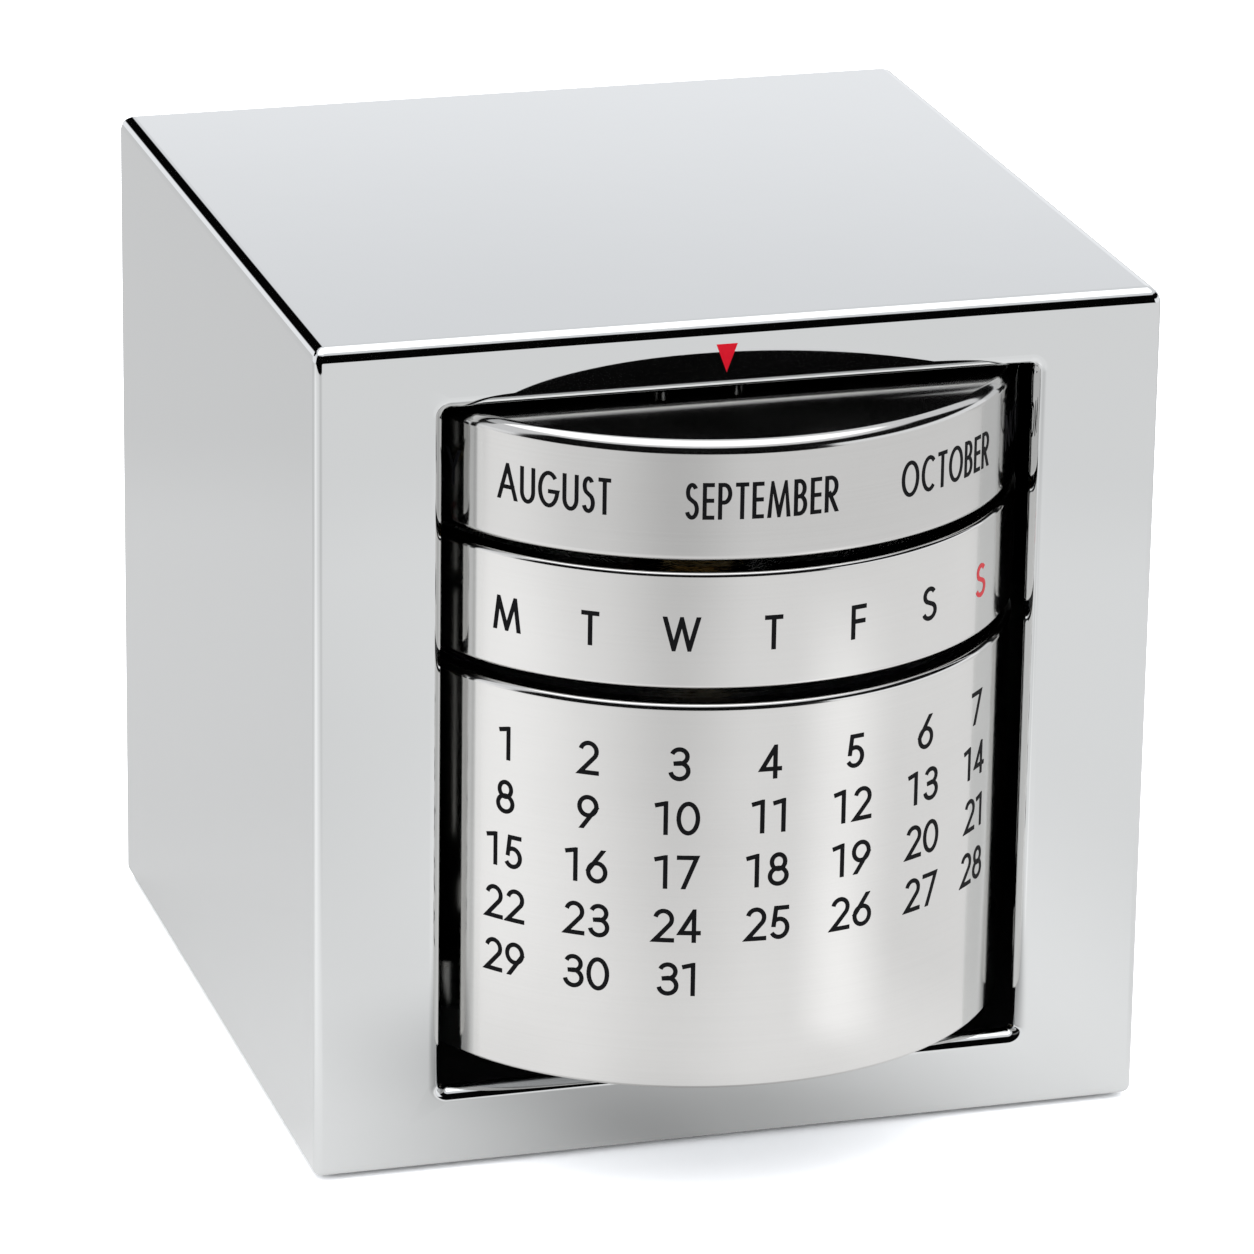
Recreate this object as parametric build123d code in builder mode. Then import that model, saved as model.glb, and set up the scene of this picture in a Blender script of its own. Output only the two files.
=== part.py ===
from build123d import *

import math
import os

# Perpetual calendar: a plated cube with a window in its front face. Three rings on one
# upright spindle stand out of the window and turn by hand: months, weekdays and dates.
# Millimetres. +Z is up and the front is towards -Y. The origin is the middle of the rest
# face, on the surface that the cube stands on.

os.makedirs("parts", exist_ok=True)

# Rings
ring_radius = 26.5
ring_wall = 1.6
ring_protrusion = 12.0  # how far the rings stand out of the front face
month_ring_height = 9.8
weekday_ring_height = 9.7
date_drum_height = 32.75
month_weekday_gap = 0.85
weekday_date_gap = 1.2
month_top_radius = 1.0
month_bottom_radius = 0.6
weekday_edge_radius = 0.4
date_top_radius = 0.6
date_bottom_radius = 0.3
month_lid_thickness = 2.0

# Case
case_wall = 1.2
side_room = 7.3  # from the rings to the inside of the side walls
window_side_gap = 1.5  # from the rings to the window's sides, at the inside of the front wall
window_top_gap = 0.4
window_bottom_gap = 2.85
window_top_margin = 5.8  # from the window up to the top
window_bottom_margin = 6.65  # from the window down to the rim
window_corner_radius = 0.5
window_edge_radius = 1.15
top_edge_radius = 1.2
side_edge_radius = 0.7
post_side = 6.0
post_height = 12.0

# Pointer
pointer_width = 1.8
pointer_height = 2.4
pointer_offset = -1.5  # sideways from the middle of the window
pointer_rise = 0.35  # from the window's rounded edge up to the pointer's tip
pointer_depth = 0.3

# Base
rim_lift = 0.4  # the pad holds the case's rim this far off the surface
pad_thickness = 1.4
pad_inset = 2.0
pad_corner_radius = 3.0
plate_thickness = 2.0
plate_clearance = 0.1

# Screws, M2.5 in the corner posts and M3 in the spindle, both countersunk
base_screw_radius = 1.25
base_screw_head_radius = 2.35
base_screw_length = 9.0
spindle_screw_radius = 1.5
spindle_screw_head_radius = 2.8
spindle_screw_length = 8.0
screw_slot_width = 0.7
screw_slot_depth = 0.5
screw_clearance = 0.05
screw_end_room = 1.0

# Spindle and what holds the rings on it
spindle_radius = 2.0
shoulder_radius = 4.0
foot_radius = 6.0
foot_thickness = 1.5
running_clearance = 0.05
end_play = 0.1
thrust_washer_thickness = 0.8
washer_radius = 4.8
bush_radius = 3.3
bush_flange_radius = 5.0
bush_flange_thickness = 1.0
bush_reach = 3.0  # how far a date bush runs on past its disc
disc_thickness = 2.0
disc_inset = 1.0
seat_clearance = 0.02
spring_thickness = 0.25
spring_height = 0.6
spring_radius = 4.5
clip_thickness = 0.5
clip_radius = 3.8
clip_slot_width = 2.4
groove_depth = 0.4
boss_radius = 5.5
boss_clearance = 0.3
cap_bush_radius = 3.3
cap_bush_end_room = 0.4
spindle_end_room = 0.6

# Places that follow from the sizes above
cube_side = 2 * (ring_radius + side_room + case_wall)
inner_half = cube_side / 2 - case_wall
front_y = -cube_side / 2
axis_y = front_y - ring_protrusion + ring_radius
stack_height = (
    month_ring_height + month_weekday_gap + weekday_ring_height + weekday_date_gap + date_drum_height
)
window_height = window_bottom_gap + stack_height + window_top_gap
half_chord = math.sqrt(ring_radius**2 - (axis_y - front_y - case_wall) ** 2)
window_width = 2 * (half_chord + window_side_gap)
cube_height = window_bottom_margin + window_height + window_top_margin
window_low = rim_lift + window_bottom_margin
window_top = window_low + window_height
window_z = (window_low + window_top) / 2
case_top = rim_lift + cube_height
ceiling_z = case_top - case_wall
plate_z = pad_thickness
plate_top = plate_z + plate_thickness
post_pitch = 2 * inner_half - post_side

date_z = window_low + window_bottom_gap
date_top = date_z + date_drum_height
weekday_z = date_top + weekday_date_gap
weekday_top = weekday_z + weekday_ring_height
month_z = weekday_top + month_weekday_gap
month_top = month_z + month_ring_height

ring_bore_radius = ring_radius - ring_wall
bush_bore_radius = spindle_radius + running_clearance
shoulder_top = date_z - end_play - thrust_washer_thickness
spring_z = month_top + end_play
clip_z = spring_z + spring_height
boss_z = clip_z + clip_thickness + boss_clearance
spindle_top = ceiling_z - spindle_end_room


def on_axis(height: float) -> Plane:
    """The level plane at this height with its origin on the rings' axis."""
    return Plane(origin=(0, axis_y, height))


def flat_ring(height: float, thickness: float, outer: float, inner: float) -> Part:
    """A flat ring about the rings' axis, such as a washer or a disc, from this height up."""
    with BuildPart() as ring:
        with BuildSketch(on_axis(height)):
            Circle(outer)
            Circle(inner, mode=Mode.SUBTRACT)
        extrude(amount=thickness)
    return ring.part


def flanged_bush(low: float, high: float, flange_z: float) -> Part:
    """A plain bearing on the spindle from low to high, with its flange starting at flange_z."""
    with BuildPart() as bush:
        with BuildSketch(on_axis(low)):
            Circle(bush_radius)
        extrude(amount=high - low)
        with BuildSketch(on_axis(flange_z)):
            Circle(bush_flange_radius)
        extrude(amount=bush_flange_thickness)
        with BuildSketch(on_axis(low)):
            Circle(bush_bore_radius)
        extrude(amount=high - low, mode=Mode.SUBTRACT)
    return bush.part


def ring_tube(height: float, length: float, low_radius: float, high_radius: float) -> Part:
    """An open ring from this height up, with its lower and upper outer edges rounded."""
    with BuildPart() as tube:
        with BuildSketch(on_axis(height)):
            Circle(ring_radius)
            Circle(ring_bore_radius, mode=Mode.SUBTRACT)
        extrude(amount=length)
        levels = tube.edges().filter_by(GeomType.CIRCLE).group_by(Axis.Z)
        lowest = levels[0].sort_by(SortBy.RADIUS)[-1]
        highest = levels[-1].sort_by(SortBy.RADIUS)[-1]
        fillet(lowest, low_radius)
        fillet(highest, high_radius)
    return tube.part


def countersunk_screw(radius: float, head_radius: float, length: float) -> Part:
    """A countersunk screw that points up from a head flush with the plate's underside."""
    with BuildPart() as screw:
        with BuildSketch(Plane.XZ):
            with BuildLine():
                Polyline(
                    (0, plate_z),
                    (head_radius, plate_z),
                    (radius, plate_z + head_radius - radius),
                    (radius, plate_z + length),
                    (0, plate_z + length),
                    close=True,
                )
            make_face()
        revolve(axis=Axis.Z)
        with BuildSketch(Plane.XY.offset(plate_z)):
            Rectangle(2 * head_radius, screw_slot_width)
        extrude(amount=screw_slot_depth, mode=Mode.SUBTRACT)
    return screw.part


# Case: five plated walls, the window, the corner posts and the boss over the spindle
with BuildPart() as case:
    with BuildSketch(Plane.XY.offset(rim_lift)):
        Rectangle(cube_side, cube_side)
    extrude(amount=cube_height)
    fillet(case.edges().filter_by(Axis.Z) + case.edges().group_by(Axis.Z)[0], side_edge_radius)
    fillet(case.faces().sort_by(Axis.Z)[-1].edges(), top_edge_radius)
    with BuildSketch(Plane.XY.offset(rim_lift)):
        Rectangle(2 * inner_half, 2 * inner_half)
    extrude(amount=ceiling_z - rim_lift, mode=Mode.SUBTRACT)
    with BuildSketch(Plane.XZ.offset(-front_y)):
        with Locations((0, window_z)):
            RectangleRounded(window_width, window_height, window_corner_radius)
    extrude(amount=-case_wall, mode=Mode.SUBTRACT)
    front_face = case.faces().sort_by(Axis.Y)[0]
    fillet(front_face.inner_wires()[0].edges(), window_edge_radius)
    with BuildSketch(Plane.XY.offset(plate_top)):
        with GridLocations(post_pitch, post_pitch, 2, 2):
            Rectangle(post_side, post_side)
    extrude(amount=post_height)
    with BuildSketch(Plane.XY.offset(plate_top)):
        with GridLocations(post_pitch, post_pitch, 2, 2):
            Circle(base_screw_radius + screw_clearance)
    extrude(amount=base_screw_length - plate_thickness + screw_end_room, mode=Mode.SUBTRACT)
    with BuildSketch(on_axis(boss_z)):
        Circle(boss_radius)
    extrude(amount=ceiling_z - boss_z)
    with BuildSketch(on_axis(boss_z)):
        Circle(cap_bush_radius + seat_clearance)
    extrude(amount=ceiling_z - boss_z, mode=Mode.SUBTRACT)
    with BuildSketch(Plane.XZ.offset(-front_y)) as pointer_outline:
        pointer_tip = window_top + window_edge_radius + pointer_rise
        with BuildLine():
            Polyline(
                (pointer_offset, pointer_tip),
                (pointer_offset + pointer_width / 2, pointer_tip + pointer_height),
                (pointer_offset - pointer_width / 2, pointer_tip + pointer_height),
                close=True,
            )
        make_face()
    extrude(amount=-pointer_depth, mode=Mode.SUBTRACT)
case.part.label = "case"
export_step(case.part, "parts/case.step")

# Pointer: enamel that fills its pocket in the front wall, flush with the face
with BuildPart() as pointer:
    extrude(pointer_outline.sketch, amount=-pointer_depth)
pointer.part.label = "pointer"
export_step(pointer.part, "parts/pointer.step")

# Base plate: closes the case from below, with sunk seats for the screw heads
with BuildPart() as base_plate:
    with BuildSketch(Plane.XY.offset(plate_z)):
        plate_side = 2 * (inner_half - plate_clearance)
        Rectangle(plate_side, plate_side)
    extrude(amount=plate_thickness)
    for shank, head, spots in (
        (base_screw_radius, base_screw_head_radius, GridLocations(post_pitch, post_pitch, 2, 2)),
        (spindle_screw_radius, spindle_screw_head_radius, Locations((0, axis_y))),
    ):
        with BuildSketch(Plane.XY.offset(plate_z)):
            with spots:
                Circle(shank + screw_clearance)
        extrude(amount=plate_thickness, mode=Mode.SUBTRACT)
        with BuildSketch(Plane.XY.offset(plate_z)):
            with spots:
                Circle(head + screw_clearance)
        extrude(amount=head - shank, taper=45, mode=Mode.SUBTRACT)
base_plate.part.label = "base_plate"
export_step(base_plate.part, "parts/base_plate.step")

# Base screws: one in each corner post
base_screw = countersunk_screw(base_screw_radius, base_screw_head_radius, base_screw_length)
with BuildPart() as base_screws:
    with GridLocations(post_pitch, post_pitch, 2, 2):
        add(base_screw)
base_screws.part.label = "base_screws"
export_step(base_screws.part, "parts/base_screws.step")

# Base pad: rubber under the plate, the face that the cube rests on
with BuildPart() as base_pad:
    with BuildSketch(Plane.XY):
        pad_side = 2 * (inner_half - pad_inset)
        RectangleRounded(pad_side, pad_side, pad_corner_radius)
    extrude(amount=pad_thickness)
base_pad.part.label = "base_pad"
export_step(base_pad.part, "parts/base_pad.step")

# Spindle: stands on the plate by its foot and carries the rings on a thin journal
with BuildPart() as spindle:
    with BuildSketch(on_axis(plate_top)):
        Circle(foot_radius)
    extrude(amount=foot_thickness)
    with BuildSketch(on_axis(plate_top)):
        Circle(shoulder_radius)
    extrude(amount=shoulder_top - plate_top)
    with BuildSketch(on_axis(plate_top)):
        Circle(spindle_radius)
    extrude(amount=spindle_top - plate_top)
    with BuildSketch(on_axis(clip_z)):
        Circle(spindle_radius)
        Circle(spindle_radius - groove_depth, mode=Mode.SUBTRACT)
    extrude(amount=clip_thickness, mode=Mode.SUBTRACT)
    with BuildSketch(on_axis(plate_top)):
        Circle(spindle_screw_radius + screw_clearance)
    extrude(amount=spindle_screw_length - plate_thickness + screw_end_room, mode=Mode.SUBTRACT)
spindle.part.label = "spindle"
export_step(spindle.part, "parts/spindle.step")

# Spindle screw: draws the spindle's foot down onto the plate
with BuildPart() as spindle_screw:
    with Locations((0, axis_y)):
        add(countersunk_screw(spindle_screw_radius, spindle_screw_head_radius, spindle_screw_length))
spindle_screw.part.label = "spindle_screw"
export_step(spindle_screw.part, "parts/spindle_screw.step")

# Washers: one under the date drum and one in each gap between the rings
washers = {
    "thrust_washer": (shoulder_top, thrust_washer_thickness),
    "date_washer": (date_top + end_play, weekday_date_gap - 2 * end_play),
    "weekday_washer": (weekday_top + end_play, month_weekday_gap - 2 * end_play),
}
for washer_name, (washer_z, washer_thickness) in washers.items():
    washer = flat_ring(washer_z, washer_thickness, washer_radius, bush_bore_radius)
    washer.label = washer_name
    export_step(washer, f"parts/{washer_name}.step")

# Date drum: the tall ring, closed by a floor disc and a top disc that hold its bushes
date_drum = ring_tube(date_z, date_drum_height, date_bottom_radius, date_top_radius)
date_drum.label = "date_drum"
export_step(date_drum, "parts/date_drum.step")

disc_radius = ring_bore_radius - seat_clearance
disc_bore_radius = bush_radius + seat_clearance
date_floor_z = date_z + disc_inset
date_floor_disc = flat_ring(date_floor_z, disc_thickness, disc_radius, disc_bore_radius)
date_floor_disc.label = "date_floor_disc"
export_step(date_floor_disc, "parts/date_floor_disc.step")

date_lid_z = date_top - disc_inset - disc_thickness
date_top_disc = flat_ring(date_lid_z, disc_thickness, disc_radius, disc_bore_radius)
date_top_disc.label = "date_top_disc"
export_step(date_top_disc, "parts/date_top_disc.step")

date_lower_bush = flanged_bush(
    date_z,
    date_floor_z + disc_thickness + bush_reach,
    date_floor_z - bush_flange_thickness,
)
date_lower_bush.label = "date_lower_bush"
export_step(date_lower_bush, "parts/date_lower_bush.step")

date_upper_bush = flanged_bush(date_lid_z - bush_reach, date_top, date_lid_z + disc_thickness)
date_upper_bush.label = "date_upper_bush"
export_step(date_upper_bush, "parts/date_upper_bush.step")

# Weekday ring: an open ring on a web disc near its lower edge
weekday_ring = ring_tube(weekday_z, weekday_ring_height, weekday_edge_radius, weekday_edge_radius)
weekday_ring.label = "weekday_ring"
export_step(weekday_ring, "parts/weekday_ring.step")

weekday_web_z = weekday_z + disc_inset
weekday_disc = flat_ring(weekday_web_z, disc_thickness, disc_radius, disc_bore_radius)
weekday_disc.label = "weekday_disc"
export_step(weekday_disc, "parts/weekday_disc.step")

weekday_bush = flanged_bush(weekday_z, weekday_top, weekday_web_z + disc_thickness)
weekday_bush.label = "weekday_bush"
export_step(weekday_bush, "parts/weekday_bush.step")

# Month ring: a cup turned upside down, with a polished lid
with BuildPart() as month_ring:
    with BuildSketch(on_axis(month_z)):
        Circle(ring_radius)
    extrude(amount=month_ring_height)
    with BuildSketch(on_axis(month_z)):
        Circle(ring_bore_radius)
    extrude(amount=month_ring_height - month_lid_thickness, mode=Mode.SUBTRACT)
    with BuildSketch(on_axis(month_z)):
        Circle(disc_bore_radius)
    extrude(amount=month_ring_height, mode=Mode.SUBTRACT)
    month_levels = month_ring.edges().filter_by(GeomType.CIRCLE).group_by(Axis.Z)
    month_low_edge = month_levels[0].sort_by(SortBy.RADIUS)[-1]
    month_high_edge = month_levels[-1].sort_by(SortBy.RADIUS)[-1]
    fillet(month_low_edge, month_bottom_radius)
    fillet(month_high_edge, month_top_radius)
month_ring.part.label = "month_ring"
export_step(month_ring.part, "parts/month_ring.step")

month_lid_z = month_top - month_lid_thickness
month_bush = flanged_bush(month_z, month_top, month_lid_z - bush_flange_thickness)
month_bush.label = "month_bush"
export_step(month_bush, "parts/month_bush.step")

# Spring washer: a shallow cone that presses the rings together under the clip
with BuildPart() as spring_washer:
    with BuildSketch(Plane.XZ):
        with BuildLine():
            Polyline(
                (bush_bore_radius, spring_z + spring_height - spring_thickness),
                (spring_radius, spring_z),
                (spring_radius, spring_z + spring_thickness),
                (bush_bore_radius, spring_z + spring_height),
                close=True,
            )
        make_face()
    revolve(axis=Axis.Z)
spring_part = spring_washer.part.moved(Location((0, axis_y, 0)))
spring_part.label = "spring_washer"
export_step(spring_part, "parts/spring_washer.step")

# Retaining clip: snaps sideways into the groove at the top of the journal
with BuildPart() as retaining_clip:
    with BuildSketch(on_axis(clip_z)):
        Circle(clip_radius)
        Circle(spindle_radius - groove_depth + seat_clearance, mode=Mode.SUBTRACT)
        with Locations((0, clip_radius / 2)):
            Rectangle(clip_slot_width, clip_radius, mode=Mode.SUBTRACT)
    extrude(amount=clip_thickness)
retaining_clip.part.label = "retaining_clip"
export_step(retaining_clip.part, "parts/retaining_clip.step")

# Cap bush: steadies the top of the spindle inside the boss
cap_bush = flat_ring(
    boss_z,
    ceiling_z - boss_z - cap_bush_end_room,
    cap_bush_radius,
    bush_bore_radius,
)
cap_bush.label = "cap_bush"
export_step(cap_bush, "parts/cap_bush.step")
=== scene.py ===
import logging
import math
from dataclasses import dataclass, field, replace
from enum import Enum
from typing import Any, Iterable, Optional, Union

import bmesh
import bpy
from mathutils import Matrix, Vector


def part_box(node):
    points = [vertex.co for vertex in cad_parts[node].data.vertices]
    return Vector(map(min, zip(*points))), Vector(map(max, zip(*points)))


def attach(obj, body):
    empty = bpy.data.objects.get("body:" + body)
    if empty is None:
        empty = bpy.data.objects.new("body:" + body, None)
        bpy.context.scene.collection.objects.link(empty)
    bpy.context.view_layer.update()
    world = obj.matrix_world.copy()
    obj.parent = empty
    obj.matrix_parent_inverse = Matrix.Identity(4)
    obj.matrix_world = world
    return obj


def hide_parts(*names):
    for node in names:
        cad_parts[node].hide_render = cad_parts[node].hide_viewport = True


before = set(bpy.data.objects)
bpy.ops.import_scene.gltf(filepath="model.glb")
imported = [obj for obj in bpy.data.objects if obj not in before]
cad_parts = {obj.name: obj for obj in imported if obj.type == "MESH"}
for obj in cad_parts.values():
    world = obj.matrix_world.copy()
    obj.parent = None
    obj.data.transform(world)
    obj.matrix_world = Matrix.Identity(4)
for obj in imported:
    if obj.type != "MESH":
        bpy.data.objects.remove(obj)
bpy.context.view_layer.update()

log = logging.getLogger("calendar")

MM = 0.001
MERGE = 1e-6
UP = Vector((0.0, 0.0, 1.0))
RING_AXIS_Y = sum(corner.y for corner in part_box("month_ring")) / 2
NOISE_LOW, NOISE_HIGH = 0.3, 0.7
GRAIN_DETAIL = 4.0
WHITE = (1.0, 1.0, 1.0, 1.0)

Colour = tuple[float, float, float]
Point = tuple[float, float]
BMesh = bmesh.types.BMesh
BMVert = bmesh.types.BMVert
BMEdge = bmesh.types.BMEdge
BMFace = bmesh.types.BMFace
Object = bpy.types.Object
Socket = bpy.types.NodeSocket
Value = Union[float, Socket]


class Body(Enum):
    """The bodies that pieces move with."""

    CUBE = "cube_body"
    DATE = "date_body"
    WEEKDAY = "weekday_body"
    MONTH = "month_body"


class Ink(Enum):
    """The two printing inks, black and red."""

    BLACK = "print_black"
    RED = "print_red"


class Grain(Enum):
    """How a metal's fine tool marks run."""

    TURNED = "rings about the spindle"
    DRAWN = "lines around an upright wall"
    NONE = "no direction"


# Meshes


def new_object(name: str, bm: BMesh) -> Object:
    """Turns a bmesh into an object of the scene, at the origin and unturned.

    Args:
        name: The piece's name.
        bm: The finished bmesh, which is freed here.

    Returns:
        The linked object.
    """
    mesh = bpy.data.meshes.new(name)
    bm.to_mesh(mesh)
    bm.free()
    piece = bpy.data.objects.new(name, mesh)
    bpy.context.scene.collection.objects.link(piece)
    return piece


def box_matrix(low: Vector, high: Vector) -> Matrix:
    """The matrix that takes a unit cube to the box between two corners."""
    size = high - low
    return Matrix.Translation((low + high) / 2) @ Matrix.Diagonal((*size, 1.0))


def round_off(bm: BMesh, geom: list, radius: float, steps: int, affect: str = "EDGES") -> None:
    """Rounds edges, or the corners of a face where affect is VERTICES."""
    bmesh.ops.bevel(
        bm, geom=geom, offset=radius, offset_type="OFFSET", segments=steps, profile=0.5,
        affect=affect, material=-1,
    )


def close_up(bm: BMesh) -> None:
    """Merges double vertices and then turns all faces outwards."""
    bmesh.ops.remove_doubles(bm, verts=bm.verts[:], dist=MERGE)
    bmesh.ops.recalc_face_normals(bm, faces=bm.faces[:])


def smooth_with_creases(bm: BMesh, limit: float = math.radians(30.0)) -> None:
    """Shades all faces smooth and keeps the edges that are steeper than the limit sharp.

    Args:
        bm: The bmesh to shade.
        limit: The angle between two faces, in radians, from which their edge is sharp.
    """
    for face in bm.faces:
        face.smooth = True
    for edge in bm.edges:
        edge.smooth = len(edge.link_faces) == 2 and edge.calc_face_angle(0.0) < limit


def add_copy(bm: BMesh, part: BMesh) -> None:
    """Adds a part that was made by itself.

    Args:
        bm: The bmesh that gets the part.
        part: The part, which is freed here.
    """
    mesh = bpy.data.meshes.new("part")
    part.to_mesh(mesh)
    part.free()
    bm.from_mesh(mesh)
    bpy.data.meshes.remove(mesh)


def weigh_normals(piece: Object) -> None:
    """Makes large flat faces keep their own normal beside narrow rounded edges.

    Args:
        piece: The finished piece, which gets a modifier.
    """
    modifier = piece.modifiers.new("weighted normals", "WEIGHTED_NORMAL")
    modifier.mode = "FACE_AREA"
    modifier.weight = 100
    modifier.keep_sharp = True


def spin_profile(bm: BMesh, profile: list[Point], steps: int) -> None:
    """Spins a closed outline about the rings' axis.

    Args:
        bm: The bmesh that gets the turned shape.
        profile: Radius and height of each corner, in metres.
        steps: How many steps a full turn has.
    """
    verts = [bm.verts.new((radius, RING_AXIS_Y, height)) for radius, height in profile]
    edges = [bm.edges.new((a, b)) for a, b in zip(verts, verts[1:] + verts[:1])]
    bmesh.ops.spin(
        bm, geom=verts + edges, cent=(0.0, RING_AXIS_Y, 0.0), axis=UP, angle=math.tau,
        steps=steps, use_merge=True,
    )
    close_up(bm)


# Finishes


class Tree:
    """A node tree that is grown node by node."""

    def __init__(self, tree: bpy.types.NodeTree) -> None:
        """Starts from an existing tree and clears it."""
        self.tree = tree
        tree.nodes.clear()

    def add(self, kind: str, inputs: Optional[dict] = None, **settings: Any) -> bpy.types.Node:
        """Adds a node.

        Args:
            kind: The node's type without its ShaderNode prefix.
            inputs: Input names or numbers with the value or the output socket that feeds each.
            settings: Properties of the node itself.

        Returns:
            The new node.
        """
        node = self.tree.nodes.new("ShaderNode" + kind)
        for name, value in settings.items():
            setattr(node, name, value)
        for key, value in (inputs or {}).items():
            if isinstance(value, Socket):
                self.tree.links.new(value, node.inputs[key])
            else:
                node.inputs[key].default_value = value
        return node

    def surface(self, shader: bpy.types.Node, kind: str = "OutputMaterial") -> None:
        """Makes a shader node the tree's result."""
        self.add(kind, {"Surface": shader.outputs[0]})

    def place(self) -> Socket:
        """The Object coordinates."""
        return self.add("TexCoord").outputs["Object"]

    def parts(self, vector: Socket) -> list[Socket]:
        """A vector's three numbers."""
        return list(self.add("SeparateXYZ", {0: vector}).outputs)

    def math(self, operation: str, *values: Value) -> Socket:
        """A Math node's result for these values or sockets."""
        return self.add("Math", dict(enumerate(values)), operation=operation).outputs[0]

    def product(self, first: Value, *others: Value) -> Value:
        """The product of all these values or sockets."""
        for other in others:
            first = self.math("MULTIPLY", first, other)
        return first

    def ramp(self, value: Value, low: float, high: float, start: Value, end: Value) -> Socket:
        """A smooth step from start to end while a value goes from low to high."""
        inputs = {"Value": value, 1: low, 2: high, 3: start, 4: end}
        return self.add("MapRange", inputs, interpolation_type="SMOOTHSTEP").outputs[0]

    def bearing(self, across: Value, ahead: Value) -> Socket:
        """The side angle of a direction in degrees, 0 straight ahead."""
        return self.math("MULTIPLY", self.math("ARCTAN2", across, ahead), math.degrees(1.0))

    def mirrored(self) -> Socket:
        """1 for what polished faces mirror to the camera, and 0 for all other light."""
        rays = self.add("LightPath").outputs
        direct = self.math("LESS_THAN", rays["Diffuse Depth"], 0.5)
        return self.math("MULTIPLY", rays["Is Glossy Ray"], direct)

    def noise(self, vector: Socket, scale: float, detail: float = 3.0) -> Socket:
        """The value of a noise texture on these coordinates."""
        settings = {"Vector": vector, "Scale": scale, "Detail": detail}
        return self.add("TexNoise", settings).outputs[0]

    def shades(self, factor: Socket, dark: Colour, light: Colour) -> Socket:
        """A colour between two shades by a factor from 0 to 1."""
        settings = {"Fac": factor, "Color1": (*dark, 1.0), "Color2": (*light, 1.0)}
        return self.add("MixRGB", settings).outputs[0]


def new_material(name: str) -> tuple[bpy.types.Material, Tree]:
    """Makes an empty material, and returns it with its tree."""
    made = bpy.data.materials.new(name)
    made.use_nodes = True
    return made, Tree(made.node_tree)


@dataclass(frozen=True)
class Finish:
    """A material with fine noise in its colour, roughness and relief.

    The cloud sizes are the wavelength of the noise in metres, and relief its height.
    """

    name: str
    colour: Colour
    roughness: float
    metallic: float = 0.0
    colour_spread: float = 0.03
    roughness_spread: float = 0.02
    cloud: float = 4.0 * MM
    relief: float = 0.0
    relief_size: float = 0.5 * MM
    grain: Grain = Grain.NONE
    grain_pitch: float = 0.15 * MM
    grain_length: float = 30.0 * MM
    gloss: float = 0.5

    def shade(self, share: float) -> Colour:
        """The finish's colour made lighter or darker by a share."""
        return tuple(min(1.0, channel * (1.0 + share)) for channel in self.colour)

    def grain_value(self, tree: Tree, place: Socket) -> Socket:
        """The noise of the tool marks, or of the relief where there are none.

        Args:
            tree: The material's tree.
            place: The socket with Object coordinates.

        Returns:
            The socket with the noise.
        """
        across = 1.0 / self.grain_pitch
        if self.grain is Grain.DRAWN:
            along = 1.0 / self.grain_length
            spread = tree.add("Mapping", {"Vector": place, "Scale": (along, along, across)})
            return tree.noise(spread.outputs[0], 1.0, GRAIN_DETAIL)
        if self.grain is Grain.TURNED:
            centred = tree.add("Mapping", {"Vector": place, "Location": (0.0, -RING_AXIS_Y, 0.0)})
            x, y, z = tree.parts(centred.outputs[0])
            flat = tree.math("ADD", tree.math("POWER", x, 2.0), tree.math("POWER", y, 2.0))
            radius = tree.math("MULTIPLY", tree.math("SQRT", flat), across)
            marks = tree.add("CombineXYZ", {0: radius, 1: tree.math("MULTIPLY", z, across)})
            return tree.noise(marks.outputs[0], 1.0, GRAIN_DETAIL)
        return tree.noise(place, 1.0 / self.relief_size, GRAIN_DETAIL)

    def material(self) -> bpy.types.Material:
        """The finish as a Blender material.

        Returns:
            The material, made once.
        """
        known = bpy.data.materials.get(self.name)
        if known is not None:
            return known
        made, tree = new_material(self.name)
        place = tree.place()
        clouds = tree.noise(place, 1.0 / self.cloud)
        marks = self.grain_value(tree, place)
        mixed = tree.math("MULTIPLY_ADD", marks, 0.5, tree.math("MULTIPLY", clouds, 0.5))
        tint = tree.shades(mixed, self.shade(-self.colour_spread), self.shade(self.colour_spread))
        low, high = self.roughness - self.roughness_spread, self.roughness + self.roughness_spread
        spread = {"Value": mixed, 1: NOISE_LOW, 2: NOISE_HIGH, 3: low, 4: high}
        rough = tree.add("MapRange", spread).outputs[0]
        shader = tree.add("BsdfPrincipled", {
            "Base Color": tint, "Roughness": rough, "Metallic": self.metallic,
            "Specular IOR Level": self.gloss,
        })
        if self.relief:
            bump = tree.add("Bump", {"Height": marks, "Distance": self.relief, "Strength": 1.0})
            tree.tree.links.new(bump.outputs[0], shader.inputs["Normal"])
        tree.surface(shader)
        return made


PLATE = Finish(
    "polished plate", (0.713, 0.722, 0.721), 0.025, 1.0, 0.006, 0.008, 18.0 * MM,
    relief=0.002 * MM, relief_size=9.0 * MM,
)
# Near-black and without gloss: painted shade that keeps the inside of the case and the gaps about
# the rings dark.
SHADED_INSIDE = Finish("inside in painted shade", (0.006, 0.006, 0.0065), 0.7, colour_spread=0.2, gloss=0.0)
RING_STEEL = Finish(
    "satin ring", (0.70, 0.693, 0.68), 0.10, 1.0, 0.05, 0.03, 6.0 * MM,
    relief=0.0006 * MM, grain=Grain.DRAWN, grain_pitch=0.12 * MM,
)
# The ring steel made darker for the month ring: painted shade for the dimmer light on the top ring.
# Its wider colour spread is streaky grain.
SHADED_MONTH_STEEL = replace(
    RING_STEEL, name="satin month ring in painted shade", colour=(0.625, 0.619, 0.608), colour_spread=0.06
)
LID_STEEL = Finish(
    "polished lid", (0.76, 0.755, 0.745), 0.02, 1.0, 0.02, 0.006, 6.0 * MM,
    grain=Grain.TURNED,
)
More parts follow.
